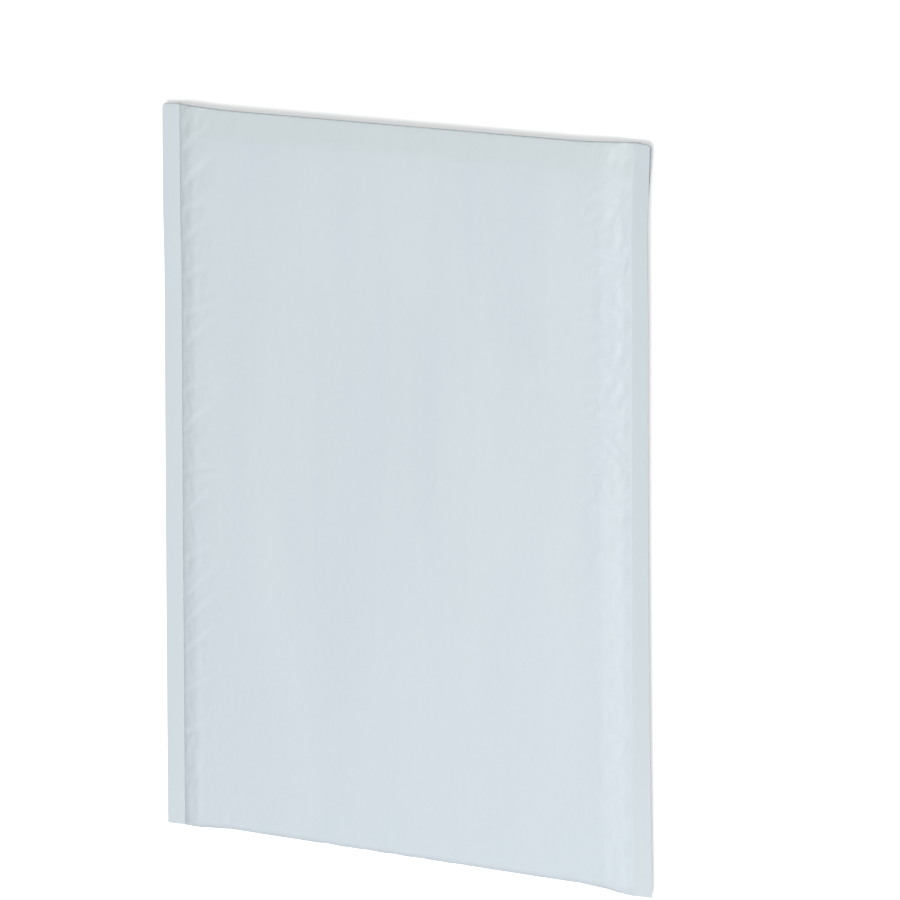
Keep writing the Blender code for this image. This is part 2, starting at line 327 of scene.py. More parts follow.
def relief(x, y, side, back_puckers):
    """How far the film lies inside the smooth panel: puckers, the bubbles' imprint and slow unevenness."""
    inward = smooth_step(inside_seal(x) / EVEN_MARGIN)
    ends = smooth_step((TOP_FOLD_Y - np.abs(y)) / EVEN_MARGIN)
    if side == "front":
        left, right = FRONT_LEFT, FRONT_RIGHT
        slow = LONG_WAVE[0] * gentle_noise(x, LONG_WAVE_STRETCH * y, LONG_SEED, LONG_WAVE[1])
        slow = slow + SHORT_WAVE[0] * gentle_noise(x, y, SHORT_SEED, SHORT_WAVE[1])
    else:
        left, right = back_puckers
        slow = BACK_WAVE[0] * np.abs(gentle_noise(x, y, BACK_SEED, BACK_WAVE[1]))
    puckers = np.where(x < 0, pucker_depth(x, y, left), pucker_depth(x, y, right))
    patches = IMPRINT_EVEN + IMPRINT_PATCHY * gentle_noise(x, y, IMPRINT_SEED, IMPRINT_PATCH)
    imprint = IMPRINT_DEPTH * (1 - bubble_lattice(x, y)) * patches
    return puckers * ends + (slow + imprint) * inward * ends


def across_stations():
    """The columns' places, close together where the panels curve and pucker."""
    strip = np.array(STRIP_INSETS) - BODY_WIDTH / 2
    share = np.arange(EDGE_COLUMNS) / EDGE_COLUMNS
    spaced = EDGE_EVENNESS * share + (1 - EDGE_EVENNESS) * share**2
    edge = PUCKER_REACH * spaced - POCKET_WIDTH / 2
    middle = (POCKET_WIDTH / 2 - PUCKER_REACH) * (np.arange(MIDDLE_COLUMNS) / MIDDLE_COLUMNS - 1)
    left = np.concatenate([strip, edge, middle])
    return np.concatenate([left, [0.0], -left[::-1]])


class Rows:
    """Where each stretch of the web starts, counted in rows from the back panel's lip."""

    fold = PANEL_ROWS + 1
    front = PANEL_ROWS + FOLD_STEPS
    mouth = front + PANEL_ROWS
    shoulder = mouth + SHOULDER_ROWS
    flap = shoulder + CREASE_STEPS + LEAN_STEPS + HEEL_STEPS


def half_turn(start_y, reach, low, high, direction):
    """Rows (y, z) round a fold from its lower side to its upper, without the ends."""
    middle, radius = (low + high) / 2, (high - low) / 2
    angles = math.pi * np.arange(1, FOLD_STEPS) / FOLD_STEPS
    ys = start_y[:, None] + direction * reach[:, None] * np.sin(angles)
    zs = middle[:, None] - radius[:, None] * np.cos(angles)
    return ys, zs


def flap_surface(x, y):
    """Where the flap's underside runs: its x, and its height, as its ends curl up to the side seals."""
    share = (TOP_FOLD_Y - y) / (TOP_FOLD_Y - FLAP_EDGE_Y)
    near_end = smooth_step((np.abs(x) - BODY_WIDTH / 2 + CURL_LENGTH) / CURL_LENGTH)
    end_height = seal_height(np.sign(x) * BODY_WIDTH / 2, y) - FLAP_BELOW_SEAL
    return x * (1 + FLAP_WIDENS - FLAP_NARROWS * share), end_height * near_end


def to_outline(points):
    """The points moved across to the envelope's real outline, which isn't quite a rectangle."""
    along = 2 * points[..., 1] / BODY_LENGTH
    shares = [middle + change * along + bow * along**2 for middle, change, bow in (LEFT_LINE, RIGHT_LINE)]
    moved = points.copy()
    moved[..., 0] *= 1 + np.where(points[..., 0] < 0, *shares)
    return moved


def mouth_turn(top_y, heel_y, low, high):
    """Rows (y, z) over the crease at the mouth, then down and back under it to the flap, without the ends."""
    top_y, heel_y, low, high = (value[:, None] for value in (top_y, heel_y, low, high))
    radius = np.minimum(CREASE_ROUND, CREASE_SHARE * (high - low))
    tilt = np.arctan((top_y - heel_y) / (high - low - 2 * radius))
    crease = math.pi / 2 - (math.pi / 2 + tilt) * np.arange(1, CREASE_STEPS + 1) / CREASE_STEPS
    heel = -tilt - (math.pi / 2 - tilt) * np.arange(HEEL_STEPS) / HEEL_STEPS
    crease_y = top_y + radius * np.cos(crease)
    crease_z = high - radius * (1 - np.sin(crease))
    heel_y = heel_y + radius * np.cos(heel)
    heel_z = low + radius * (1 + np.sin(heel))
    share = np.arange(1, LEAN_STEPS) / LEAN_STEPS
    lean_y = crease_y[:, -1:] + (heel_y[:, :1] - crease_y[:, -1:]) * share
    lean_z = crease_z[:, -1:] + (heel_z[:, :1] - crease_z[:, -1:]) * share
    ys = np.concatenate([crease_y, lean_y, heel_y], axis=1)
    zs = np.concatenate([crease_z, lean_z, heel_z], axis=1)
    return ys, zs


def film_web():
    """The web's outer surface as an array (column, row, xyz)."""
    x = across_stations()
    back_puckers = [scattered_puckers(seed) for seed in BACK_SEEDS]
    column = x[:, None]

    def back(y):
        return smooth_heights(column, y)[0] + relief(column, y, "back", back_puckers)

    def front(y):
        return smooth_heights(column, y)[1] - relief(column, y, "front", back_puckers)

    def at(height, y):
        return height(y[:, None])[:, 0]

    edge = BOTTOM_FOLD_Y + pulled_in(x, BOTTOM_PULL)
    low, high = at(back, edge), at(front, edge)
    reach = (high - low) / 2
    bottom_y = edge + reach
    share = np.arange(PANEL_ROWS + 1) / PANEL_ROWS
    back_y = LIP_Y + (bottom_y[:, None] - LIP_Y) * share
    front_y = back_y[:, ::-1]
    fold_y, fold_z = half_turn(bottom_y, reach, at(back, bottom_y), at(front, bottom_y), -1)

    crest = TOP_FOLD_Y - pulled_in(x, TOP_PULL) - corner_drop(x)
    top_y = crest - CREASE_ROUND
    share = np.arange(1, SHOULDER_ROWS + 1) / SHOULDER_ROWS
    shoulder_y = LIP_Y + (top_y[:, None] - LIP_Y) * share
    heel_y = top_y - MOUTH_SLOPE * (at(front, top_y) - flap_surface(x, top_y)[1])
    share = np.arange(FLAP_ROWS + 1) / FLAP_ROWS
    flap_y = heel_y[:, None] + (FLAP_EDGE_Y - heel_y[:, None]) * share
    flap_x, flap_z = flap_surface(column, flap_y)
    turn_y, turn_z = mouth_turn(top_y, heel_y, flap_z[:, 0], at(front, top_y))

    ys = [back_y, fold_y, front_y, shoulder_y, turn_y, flap_y]
    zs = [back(back_y), fold_z, front(front_y), front(shoulder_y), turn_z, flap_z]
    y, z = np.concatenate(ys, axis=1), np.concatenate(zs, axis=1)
    xs = np.repeat(column, y.shape[1], axis=1)
    xs[:, Rows.flap :] = flap_x
    turn_share = np.linspace(0, 1, Rows.flap - Rows.shoulder + 1)
    xs[:, Rows.shoulder : Rows.flap + 1] = column + (flap_x[:, :1] - column) * turn_share
    return np.stack([xs, y, z], axis=2)


# The cloth run that wrinkles the film. The seals and the flap hold it firmly, and the padding under it holds
# the rest more softly. The spare film beside the seals is what puckers. Cloth hardly moves at the envelope's
# real size, so the run is made at ten times that size.
CLOTH_SCALE = 10.0
CLOTH_FRAMES = 12
CLOTH_HOLD_MIDDLE = 0.55
CLOTH_HOLD_EDGE = 0.30
CLOTH_EDGE = 0.038
CLOTH_SPARE = 0.028
CLOTH_SPARE_AT_FOLDS = 0.25
CLOTH_QUALITY = 5
CLOTH_MASS = 0.01
CLOTH_STIFFNESS = 40
CLOTH_SHEAR = 20
CLOTH_BENDING = 4
CLOTH_WELT = 0.0045
CLOTH_REACH = 0.0005

# How much of the cloth's movement the film keeps: on the left, and on the right in its lower and upper half.
CALM_LEFT = 0.55
CALM_RIGHT = 0.25
LIVELY_RIGHT = 0.60
LIVELY_FROM = -0.06
LIVELY_CLIMB = 0.12


def held_shares(web):
    """How firmly each point is held, from 0 to 1, and its share of the spare film, as two arrays."""
    x, y = web[..., 0], web[..., 1]
    near_seal = 1 - smooth_step(inside_seal(x) / CLOTH_EDGE)
    near_fold = 1 - smooth_step((BODY_LENGTH / 2 - np.abs(y)) / CLOTH_EDGE)
    near = np.maximum(near_seal, CLOTH_SPARE_AT_FOLDS * near_fold)
    held = CLOTH_HOLD_MIDDLE + (CLOTH_HOLD_EDGE - CLOTH_HOLD_MIDDLE) * near
    held = np.maximum(held, 1 - smooth_step(inside_seal(x) / CLOTH_WELT))
    held[: STRIP_COLUMNS + 1] = 1.0
    held[-STRIP_COLUMNS - 1 :] = 1.0
    held[:, Rows.shoulder + CREASE_STEPS // 2 :] = 1.0
    return held, near


def cloth_mesh(web):
    """The web's outer surface as an open mesh, whose points are in the array's own order."""
    columns, rows = web.shape[:2]
    index = np.arange(columns * rows).reshape(columns, rows)
    quads = np.stack([index[:-1, :-1], index[1:, :-1], index[1:, 1:], index[:-1, 1:]], axis=-1)
    mesh = bpy.data.meshes.new("film_cloth")
    mesh.from_pydata(web.reshape(-1, 3).tolist(), [], quads.reshape(-1, 4).tolist())
    return mesh


def add_weights(obj, name, shares):
    """Gives the object a vertex group of the points' shares, to a hundredth, and returns its name."""
    group = obj.vertex_groups.new(name=name)
    steps = np.round(shares.ravel() * 100).astype(int)
    for step in np.unique(steps):
        group.add(np.flatnonzero(steps == step).tolist(), step / 100, "REPLACE")
    return name


def liveliness(web):
    """How much of the cloth's movement each point keeps."""
    x, y = web[..., 0], web[..., 1]
    right = CALM_RIGHT + (LIVELY_RIGHT - CALM_RIGHT) * smooth_step((y - LIVELY_FROM) / LIVELY_CLIMB)
    return CALM_LEFT + (right - CALM_LEFT) * smooth_step(x / POCKET_WIDTH + 0.5)


def wrinkled(web):
    """The web after a short cloth run, kept near the smooth form and off the surface that it lies on."""
    obj = bpy.data.objects.new("film_cloth", cloth_mesh(web * CLOTH_SCALE))
    scene = bpy.context.scene
    scene.collection.objects.link(obj)
    held, spare = held_shares(web)
    cloth = obj.modifiers.new("cloth", "CLOTH")
    settings = cloth.settings
    settings.quality = CLOTH_QUALITY
    settings.mass = CLOTH_MASS
    settings.tension_stiffness = CLOTH_STIFFNESS
    settings.compression_stiffness = CLOTH_STIFFNESS
    settings.shear_stiffness = CLOTH_SHEAR
    settings.bending_stiffness = CLOTH_BENDING
    settings.vertex_group_mass = add_weights(obj, "held", held)
    settings.pin_stiffness = 1.0
    settings.vertex_group_shrink = add_weights(obj, "taut", 1 - spare)
    settings.shrink_min = -CLOTH_SPARE
    settings.shrink_max = 0.0
    settings.effector_weights.gravity = 0
    cloth.collision_settings.use_collision = False
    scene.frame_start, scene.frame_end = 1, CLOTH_FRAMES
    for step in range(1, CLOTH_FRAMES + 1):
        scene.frame_set(step)
    evaluated = obj.evaluated_get(bpy.context.evaluated_depsgraph_get())
    points = np.empty(web.size, np.float32)
    evaluated.data.vertices.foreach_get("co", points)
    bpy.data.objects.remove(obj)
    scene.frame_set(1)
    moved = points.reshape(web.shape).astype(float) / CLOTH_SCALE - web
    distance = np.maximum(np.linalg.norm(moved, axis=2, keepdims=True), 1e-9)
    limited = moved / distance * CLOTH_REACH * np.tanh(distance / CLOTH_REACH)
    result = web + limited * liveliness(web)[..., None]
    back = slice(0, Rows.front)
    result[:, back, 2] = np.maximum(result[:, back, 2], underside(result[:, back, 1]))
    return result


def grid_normals(web):
    """Unit normals of the web's outer surface, pointing out."""
    along_x = np.gradient(web, axis=0)
    along_row = np.gradient(web, axis=1)
    normals = np.cross(along_x, along_row)
    return normals / np.linalg.norm(normals, axis=2, keepdims=True)


WELD_DISTANCE = 1e-7
SHARP_ANGLE = 50


def strip_between(bm, first, second):
    """Quads between two lines of vertices."""
    for a, b, c, d in zip(first, first[1:], second[1:], second):
        bm.faces.new((a, b, c, d))


def add_skin(bm, points):
    return [[bm.verts.new(point) for point in column] for column in points.tolist()]


def finished_mesh(bm, name):
    """Turns a closed bmesh into an object, merged where skins meet and facing out."""
    bmesh.ops.remove_doubles(bm, verts=bm.verts, dist=WELD_DISTANCE)
    bmesh.ops.delete(bm, geom=[vert for vert in bm.verts if not vert.link_faces], context="VERTS")
    bmesh.ops.recalc_face_normals(bm, faces=bm.faces)
    mesh = bpy.data.meshes.new(name)
    bm.to_mesh(mesh)
    bm.free()
    mesh.shade_smooth()
    mesh.set_sharp_from_angle(angle=math.radians(SHARP_ANGLE))
    obj = bpy.data.objects.new(name, mesh)
    bpy.context.scene.collection.objects.link(obj)
    return obj


def stands_for(piece, node, material):
    """Gives a piece its finish and puts it in the place of a CAD node."""
    piece.data.materials.append(material)
    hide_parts(node)
    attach(piece, "root")


def film_piece(web):
    """The closed film: an outer and an inner skin, joined at the lip, the seals' edges and the flap's."""
    inner = web - FILM * grid_normals(web)
    last = len(web) - 1
    left, right = STRIP_COLUMNS, last - STRIP_COLUMNS
    for seam in (left, right):
        both = (web[seam, : Rows.mouth + 1] + web[seam, Rows.mouth :: -1]) / 2
        inner[seam, : Rows.mouth + 1] = both
    for strip in (slice(0, left), slice(right + 1, last + 1)):
        inner[strip, Rows.mouth] = (web[strip, Rows.mouth] + web[strip, 0]) / 2

    bm = bmesh.new()
    skin, lining = add_skin(bm, web), add_skin(bm, inner)
    for first, second in zip(skin, skin[1:]):
        strip_between(bm, first, second)
    for i in range(last):
        start = 0 if left <= i < right else Rows.mouth
        strip_between(bm, lining[i][start:], lining[i + 1][start:])
    lip = [lining[i][0 if left <= i <= right else Rows.mouth] for i in range(last + 1)]
    strip_between(bm, [column[0] for column in skin], lip)
    strip_between(bm, [column[-1] for column in skin], [column[-1] for column in lining])
    for outer, inside in ((skin[0], lining[0]), (skin[-1], lining[-1])):
        bm.faces.new([outer[Rows.mouth], inside[Rows.mouth], outer[0], outer[1], outer[Rows.mouth - 1]])
        strip_between(bm, outer[1 : PANEL_ROWS + 1], outer[Rows.mouth - 1 : Rows.front - 1 : -1])
        bm.faces.new(outer[PANEL_ROWS : Rows.front + 1])
        strip_between(bm, outer[Rows.mouth :], inside[Rows.mouth :])
    return finished_mesh(bm, "envelope_film")


def make_film(web):
    film = film_piece(to_outline(web))
    stands_for(film, "outer_film", film_material())


NEARBY = 0.002


def film_close_to(web, rows, x, y, pick):
    """One panel's height at the places x, y: the lowest or highest of the film near each, as pick says."""
    panel = web[:, rows]
    if panel[0, 0, 1] > panel[0, -1, 1]:
        panel = panel[:, ::-1]
    stations = across_stations()
    heights = np.empty(y.shape)
    for i, place in enumerate(x):
        after = np.searchsorted(stations, place)
        near = [
            np.interp(y[i] + shift, column[:, 1], column[:, 2])
            for column in panel[after - 2 : after + 2]
            for shift in (-NEARBY, 0.0, NEARBY)
        ]
        heights[i] = pick(near, axis=0)
    return heights


# The lining is a folded ply of air-bubble film. Its flat side lies on the outer film.
LINING_INSET = 0.0050
LINING_SETBACK = 0.0060
LINING_FOLD_ROOM = 0.0014
LINING_ROWS = 160
LINING_SHEET = 0.0009
THINNEST = 0.0003
BUBBLE_CELLS = 4
BUBBLE_RADIUS = 0.00475


def bubble_domes(columns, rows, width, height):
    """The height of each point of a grid on staggered bubbles, from 0 between them to 1 on top."""
    half = BUBBLE_CELLS // 2
    column, row = np.arange(columns)[:, None], np.arange(rows)[None, :]
    domes = np.zeros((columns, rows))
    for shift in (0, 1):
        across = ((column + half * shift) % BUBBLE_CELLS - half) * width
        along = ((row + BUBBLE_CELLS * shift + half) % (2 * BUBBLE_CELLS) - BUBBLE_CELLS) * height
        share = np.hypot(across, along) / BUBBLE_RADIUS
        domes = np.maximum(domes, np.sqrt(np.maximum(1 - share**2, 0.0)))
    return domes


def lining_skins(web):
    """The lining's outer and inner skins as arrays (column, row, xyz), from the back ply to the front one."""
    half_width = POCKET_WIDTH / 2 - LINING_INSET
    columns = BUBBLE_CELLS * round(2 * half_width / BUBBLE_PITCH) + 1
    x = np.linspace(-half_width, half_width, columns)
    share = np.arange(LINING_ROWS + 1) / LINING_ROWS
    edge = BOTTOM_FOLD_Y + pulled_in(x, BOTTOM_PULL) + LINING_FOLD_ROOM
    bottom_y = edge + PAD_THICKNESS / 2
    mouth_y = LIP_Y - LINING_SETBACK
    y = mouth_y + (bottom_y[:, None] - mouth_y) * share
    room = FILM + CLEARANCE
    low = film_close_to(web, slice(0, Rows.fold), x, y, np.max) + room
    high = film_close_to(web, slice(Rows.front, Rows.mouth + 1), x, y, np.min) - room
    domes = bubble_domes(columns, LINING_ROWS + 1, x[1] - x[0], (mouth_y - bottom_y[0]) / LINING_ROWS)
    thickness = LINING_SHEET + (BUBBLE_PLY - LINING_SHEET) * domes
    middle = (low + high) / 2
    back_in = np.maximum(np.minimum(low + thickness, middle - POCKET_GAP / 2), low + THINNEST)
    front_in = np.minimum(np.maximum(high - thickness, middle + POCKET_GAP / 2), high - THINNEST)

    def skin(back, front):
        reach = (front[:, -1] - back[:, -1]) / 2
        turn_y, turn_z = half_turn(bottom_y, reach, back[:, -1], front[:, -1], -1)
        ys = np.concatenate([y, turn_y, y[:, ::-1]], axis=1)
        zs = np.concatenate([back, turn_z, front[:, ::-1]], axis=1)
        return np.stack([np.repeat(x[:, None], ys.shape[1], axis=1), ys, zs], axis=2)

    return skin(low, high), skin(back_in, front_in)


def sheet_between(first_skin, second_skin, name):
    """A closed sheet between two skins of the same size, joined round their edges."""
    bm = bmesh.new()
    first, second = add_skin(bm, first_skin), add_skin(bm, second_skin)
    for skin in (first, second):
        for a, b in zip(skin, skin[1:]):
            strip_between(bm, a, b)
    for end in (0, -1):
        strip_between(bm, first[end], second[end])
        strip_between(bm, [column[end] for column in first], [column[end] for column in second])
    return finished_mesh(bm, name)


def make_lining(web):
    lining = sheet_between(*(to_outline(skin) for skin in lining_skins(web)), "bubble_plies")
    stands_for(lining, "bubble_lining", lining_material())


# The closure on the flap: a band of hot melt under a release liner.
ADHESIVE_WIDTH = 0.0190
ADHESIVE_END_INSET = 0.0040
LINER_WIDTH = 0.0225
LINER_END_INSET = 0.0008
LINER_EDGE_MARGIN = 0.0075
LINER_Y = FLAP_EDGE_Y + LINER_EDGE_MARGIN + LINER_WIDTH / 2
BAND_THICKNESS = 0.0001
BAND_ROWS = 8
BAND_COLUMNS = 120
BAND_WAVE = 0.045
BAND_SEED = 21
LINER_WAVINESS = 0.00003


def band_on_flap(width, end_inset, height, waviness, name):
    """A thin band along the flap, at a height over the surface that the flap rests on."""
    half = BODY_WIDTH / 2 - end_inset
    x = np.linspace(-half, half, BAND_COLUMNS + 1)[:, None]
    y = LINER_Y + width * (np.arange(BAND_ROWS + 1)[None, :] / BAND_ROWS - 0.5)
    place_x, base = flap_surface(x, y)
    base = base + height + waviness * gentle_noise(x, y, BAND_SEED, BAND_WAVE)
    place_y = np.broadcast_to(y, base.shape)
    skins = [np.stack([place_x, place_y, base + step], axis=2) for step in (0.0, BAND_THICKNESS)]
    return sheet_between(*(to_outline(skin) for skin in skins), name)


def make_closure():
    glue = band_on_flap(ADHESIVE_WIDTH, ADHESIVE_END_INSET, FILM + CLEARANCE, 0.0, "hot_melt_band")
    stands_for(glue, "adhesive_strip", adhesive_material())
    liner_height = FILM + BAND_THICKNESS + 2 * CLEARANCE
    liner = band_on_flap(LINER_WIDTH, LINER_END_INSET, liner_height, LINER_WAVINESS, "liner_strip")
    stands_for(liner, "release_liner", liner_material())


class Tree:
    """A node tree, with short calls for the nodes that the materials here share."""

    def __init__(self, tree):
        self.tree = tree

    def add(self, kind, **settings):
        node = self.tree.nodes.new(kind)
        for name, value in settings.items():
            setattr(node, name, value)
        return node

    def link(self, source, target):
        self.tree.links.new(source, target)

    def place(self):
        """The point on the object, in metres."""
        return self.add("ShaderNodeTexCoord").outputs["Object"]

    def noise(self, scale, detail=2.0, roughness=0.5, stretch=None, turn=0.0):
        """Noise over the object; stretch gives it a scale of its own along each axis, and turn slants it."""
        node = self.add("ShaderNodeTexNoise")
        node.inputs["Scale"].default_value = scale
        node.inputs["Detail"].default_value = detail
        node.inputs["Roughness"].default_value = roughness
        place = self.place()
        if stretch is not None:
            mapping = self.add("ShaderNodeMapping")
            mapping.inputs["Scale"].default_value = stretch
            mapping.inputs["Rotation"].default_value = (0.0, 0.0, turn)
            self.link(place, mapping.inputs["Vector"])
            place = mapping.outputs["Vector"]
        self.link(place, node.inputs["Vector"])
        return node.outputs["Fac"]

    def math(self, operation, first, second=0.0, third=0.0):
        node = self.add("ShaderNodeMath", operation=operation)
        for socket, value in zip(node.inputs, (first, second, third)):
            if isinstance(value, (int, float)):
                socket.default_value = value
            else:
                self.link(value, socket)
        return node.outputs[0]

    def spread(self, value, low, high, to_low, to_high):
        node = self.add("ShaderNodeMapRange")
        for name, number in (
            ("From Min", low),
            ("From Max", high),
            ("To Min", to_low),
            ("To Max", to_high),
        ):
            node.inputs[name].default_value = number
        self.link(value, node.inputs["Value"])
        return node.outputs["Result"]

    def mix(self, share, first, second):
        node = self.add("ShaderNodeMix", data_type="RGBA")
        for socket, value in ((node.inputs[0], share), (node.inputs[6], first), (node.inputs[7], second)):
            if isinstance(value, (int, float)):
                socket.default_value = value
            elif isinstance(value, tuple):
                socket.default_value = (*value, 1.0)
            else:
                self.link(value, socket)
        return node.outputs[2]

    def bump(self, height, strength, distance, under=None):
        node = self.add("ShaderNodeBump")
        node.inputs["Strength"].default_value = strength
        node.inputs["Distance"].default_value = distance
        self.link(height, node.inputs["Height"])
        if under is not None:
            self.link(under, node.inputs["Normal"])
        return node.outputs["Normal"]


class Nodes(Tree):
    """A new material's node tree."""

    def __init__(self, name):
        self.material = bpy.data.materials.new(name)
        self.material.use_nodes = True
        super().__init__(self.material.node_tree)
        self.shader = self.tree.nodes["Principled BSDF"]


# The outer film's colours, and where they change. Painted light makes the film lighter and bluer towards the
# bottom, and painted shade darkens it along the bottom fold.
FILM_COLOUR = (0.632, 0.700, 0.745)
FILM_PALE = (0.658, 0.728, 0.763)
FILM_LOWER_PAINTED_LIGHT = (0.645, 0.713, 0.770)
FILM_FOLD_PAINTED_SHADE = (0.590, 0.656, 0.700)
FILM_SEALED = (0.628, 0.696, 0.732)
FILM_TOWARDS_MOUTH = (0.634, 0.704, 0.724)
SEAM_BLUR = 0.0002
BAND_STRETCH = (34.0, 5.0, 34.0)
MOTTLE = 320.0
LOWER_LIGHT_SHARE = 0.8
LOWER_LIGHT_END = 0.02
FOLD_SHADE_SPAN = (0.0005, 0.0060)
MOUTH_TINT = (0.018, 0.012)

# The small marks of the pins that hold the web while it is sealed. Their dark colour is painted shade in the
# marks' small dimples.
PIN_PAINTED_SHADE = (0.36, 0.41, 0.44)
PIN_STEP = 0.0090
PIN_OUTWARD = 0.0030
PIN_HEIGHT = 0.0002
PIN_RADIUS = (0.00028, 0.00062)
PIN_FACING = (-0.5, -0.4)  # the marks end where the film turns up from facing down

# The film's fine relief.
SKIN_GRAIN = 900.0
SKIN_HEIGHT = 0.0002
CRINKLE_STRETCH = (230.0, 150.0, 230.0)
CRINKLE_TURN = 0.6
CRINKLE_IN_MIDDLE = 0.65
CRINKLE_AT_ENDS = 0.8
CRINKLE_SEAL_MARGIN = (0.060, 0.006)
CRINKLE_END_MARGIN = (0.045, 0.004)
CRINKLE_HEIGHT = 0.00035
RIB_STEP = 0.0011
RIB_HEIGHT = 0.00003


def nominal_distance(nodes, x, y):
    """How far out from the middle a point is on the nominal envelope, with its real outline taken off."""
    along = nodes.math("MULTIPLY", y, 2 / BODY_LENGTH)
    left, right = (
        nodes.math("MULTIPLY_ADD", along, nodes.math("MULTIPLY_ADD", along, bow, change), 1 + middle)
        for middle, change, bow in (LEFT_LINE, RIGHT_LINE)
    )
    on_right = nodes.math("GREATER_THAN", x, 0.0)
    share = nodes.math("MULTIPLY_ADD", on_right, nodes.math("SUBTRACT", right, left), left)
    return nodes.math("DIVIDE", nodes.math("ABSOLUTE", x), share)


def pin_marks(nodes, out, y):
    """1 on the small pin marks down the back of each seal, and 0 elsewhere."""
    off_line = nodes.math("SUBTRACT", out, POCKET_WIDTH / 2 + PIN_OUTWARD)
    off_step = nodes.math("SUBTRACT", nodes.math("FRACT", nodes.math("DIVIDE", y, PIN_STEP)), 0.5)
    off_step = nodes.math("MULTIPLY", off_step, PIN_STEP)
    squares = nodes.math("MULTIPLY_ADD", off_line, off_line, nodes.math("MULTIPLY", off_step, off_step))
    dots = nodes.spread(nodes.math("SQRT", squares), *PIN_RADIUS, 1.0, 0.0)
    facing = nodes.add("ShaderNodeSeparateXYZ")
    nodes.link(nodes.add("ShaderNodeTexCoord").outputs["Normal"], facing.inputs[0])
    return nodes.math("MULTIPLY", dots, nodes.spread(facing.outputs["Z"], *PIN_FACING, 1.0, 0.0))


def film_material():
    """Opaque pale polyethylene: soft satin, crinkled, with ribs and pin marks in its seals. Its colour holds
    painted light towards the bottom, and painted shade at the bottom fold and in the pin marks.
    """
    nodes = Nodes("pale_polyethylene")
    place = nodes.add("ShaderNodeSeparateXYZ")
    nodes.link(nodes.place(), place.inputs[0])
    x, y = place.outputs["X"], place.outputs["Y"]
    out = nominal_distance(nodes, x, y)
    seam = POCKET_WIDTH / 2
    sealed = nodes.spread(out, seam - SEAM_BLUR, seam + SEAM_BLUR, 0.0, 1.0)
    pins = pin_marks(nodes, out, y)

    bands = nodes.spread(nodes.noise(1.0, 3.0, 0.55, stretch=BAND_STRETCH), 0.34, 0.66, 0.0, 1.0)
    mottle = nodes.noise(MOTTLE, 3.0, 0.6)
    pale = nodes.math("ADD", bands, nodes.math("SUBTRACT", mottle, 0.5))
    colour = nodes.mix(pale, FILM_COLOUR, FILM_PALE)
    # Painted light: the film is lighter and bluer towards the bottom.
    painted_light = nodes.spread(y, BOTTOM_FOLD_Y, LOWER_LIGHT_END, LOWER_LIGHT_SHARE, 0.0)
    colour = nodes.mix(painted_light, colour, FILM_LOWER_PAINTED_LIGHT)
    # Painted shade: the film is darker along the bottom fold, where it curves away from the light.
    near_fold = nodes.spread(y, BOTTOM_FOLD_Y + FOLD_SHADE_SPAN[0], BOTTOM_FOLD_Y + FOLD_SHADE_SPAN[1], 1.0, 0.0)
    colour = nodes.mix(near_fold, colour, FILM_FOLD_PAINTED_SHADE)
    # The film is less blue towards the mouth.
    near_mouth = nodes.spread(y, TOP_FOLD_Y - MOUTH_TINT[0], TOP_FOLD_Y - MOUTH_TINT[1], 0.0, 1.0)
    colour = nodes.mix(near_mouth, colour, FILM_TOWARDS_MOUTH)
    colour = nodes.mix(sealed, colour, FILM_SEALED)
    # Painted shade in the pin marks.
    nodes.link(nodes.mix(pins, colour, PIN_PAINTED_SHADE), nodes.shader.inputs["Base Color"])
    nodes.link(nodes.spread(nodes.noise(90.0), 0.3, 0.7, 0.44, 0.56), nodes.shader.inputs["Roughness"])
    nodes.shader.inputs["Specular IOR Level"].default_value = 0.3

    from_seal = [seam - margin for margin in CRINKLE_SEAL_MARGIN]
    near_seal = nodes.spread(out, *from_seal, CRINKLE_IN_MIDDLE, 1.0)
    from_ends = [TOP_FOLD_Y - margin for margin in CRINKLE_END_MARGIN]
    near_ends = nodes.spread(nodes.math("ABSOLUTE", y), *from_ends, CRINKLE_IN_MIDDLE, CRINKLE_AT_ENDS)
    near_edge = nodes.math("MAXIMUM", near_seal, near_ends)
    inside = nodes.math("SUBTRACT", 1.0, sealed)
    crinkles = nodes.noise(1.0, 3.0, 0.55, stretch=CRINKLE_STRETCH, turn=CRINKLE_TURN)
    crinkles = nodes.math("MULTIPLY", nodes.math("MULTIPLY", crinkles, near_edge), inside)
    ribs = nodes.noise(1.0, 1.0, 0.4, stretch=(1 / RIB_STEP, 6.0, 1 / RIB_STEP))
    ribs = nodes.math("MULTIPLY", ribs, sealed)
    skin = nodes.bump(nodes.noise(SKIN_GRAIN, 3.0), 0.08, SKIN_HEIGHT)
    skin = nodes.bump(crinkles, 1.0, CRINKLE_HEIGHT, under=skin)
    skin = nodes.bump(ribs, 1.0, RIB_HEIGHT, under=skin)
    skin = nodes.bump(nodes.math("SUBTRACT", 1.0, pins), 1.0, PIN_HEIGHT, under=skin)
    nodes.link(skin, nodes.shader.inputs["Normal"])
    return nodes.material


LINING_COLOUR = (0.70, 0.76, 0.79)
LINING_PALE = (0.78, 0.83, 0.86)


def lining_material():
    """Clear bubble film, cloudy where its two layers are welded."""
    nodes = Nodes("bubble_film")
    cloud = nodes.spread(nodes.noise(160.0, 3.0, 0.6), 0.35, 0.65, 0.0, 1.0)
    nodes.link(nodes.mix(cloud, LINING_COLOUR, LINING_PALE), nodes.shader.inputs["Base Color"])
    nodes.link(nodes.spread(nodes.noise(70.0), 0.3, 0.7, 0.14, 0.26), nodes.shader.inputs["Roughness"])
    nodes.shader.inputs["Transmission Weight"].default_value = 0.35
    nodes.shader.inputs["IOR"].default_value = 1.5
    nodes.link(nodes.bump(nodes.noise(420.0, 2.0), 0.2, 0.0003), nodes.shader.inputs["Normal"])
    return nodes.material


ADHESIVE_COLOUR = (0.62, 0.56, 0.40)
ADHESIVE_PALE = (0.72, 0.67, 0.53)


